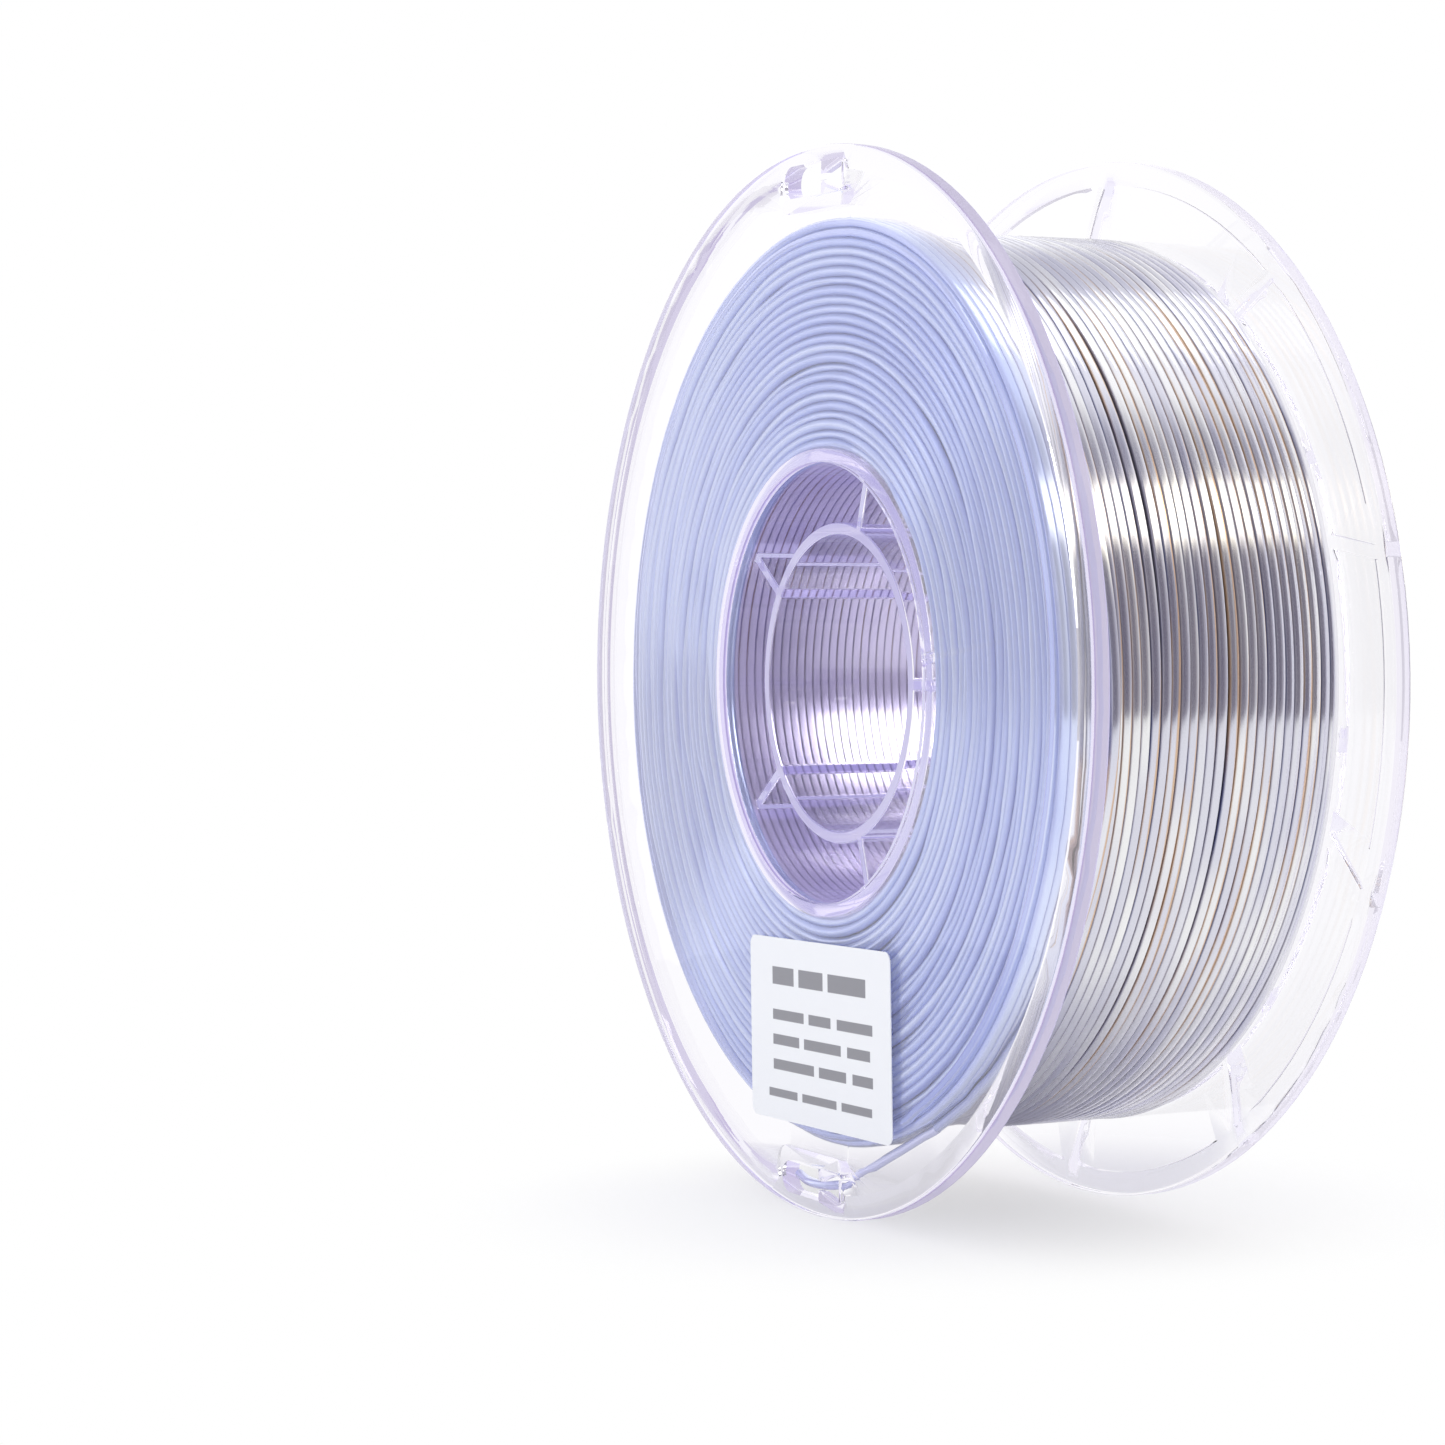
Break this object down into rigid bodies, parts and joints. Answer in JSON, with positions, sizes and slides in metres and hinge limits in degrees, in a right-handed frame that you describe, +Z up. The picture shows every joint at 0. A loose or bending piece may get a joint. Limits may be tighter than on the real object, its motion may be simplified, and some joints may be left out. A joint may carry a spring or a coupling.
{
  "type": "filament spool",
  "caption": "Full 3D printer filament spool: two clear flanges on a webbed clear hub, wound with silk filament, its end held in a rim clip, with a blank label.",
  "frame": {"origin": "middle of the bore, halfway between the two flanges' outer faces", "axes": "+Z up as the spool stands on its rims, Y along the bore with the front flange at -Y, +X to the right as seen from the front"},
  "size_m": [0.2, 0.063, 0.2],
  "materials": {
    "clear_plastic": "clear polished moulding",
    "filament": "silk, pearl sheen",
    "label": "satin coated paper"
  },
  "bodies": {
    "root": {"front_flange": "clear_plastic", "rear_flange": "clear_plastic", "hub_drum": "clear_plastic", "bore_tube": "clear_plastic", "hub_web_1": "clear_plastic", "hub_web_2": "clear_plastic", "hub_web_3": "clear_plastic", "hub_web_4": "clear_plastic", "hub_web_5": "clear_plastic", "filament_core": "filament", "filament_turns": "filament", "filament_tail": "filament", "label": "label"}
  },
  "joints": []
}
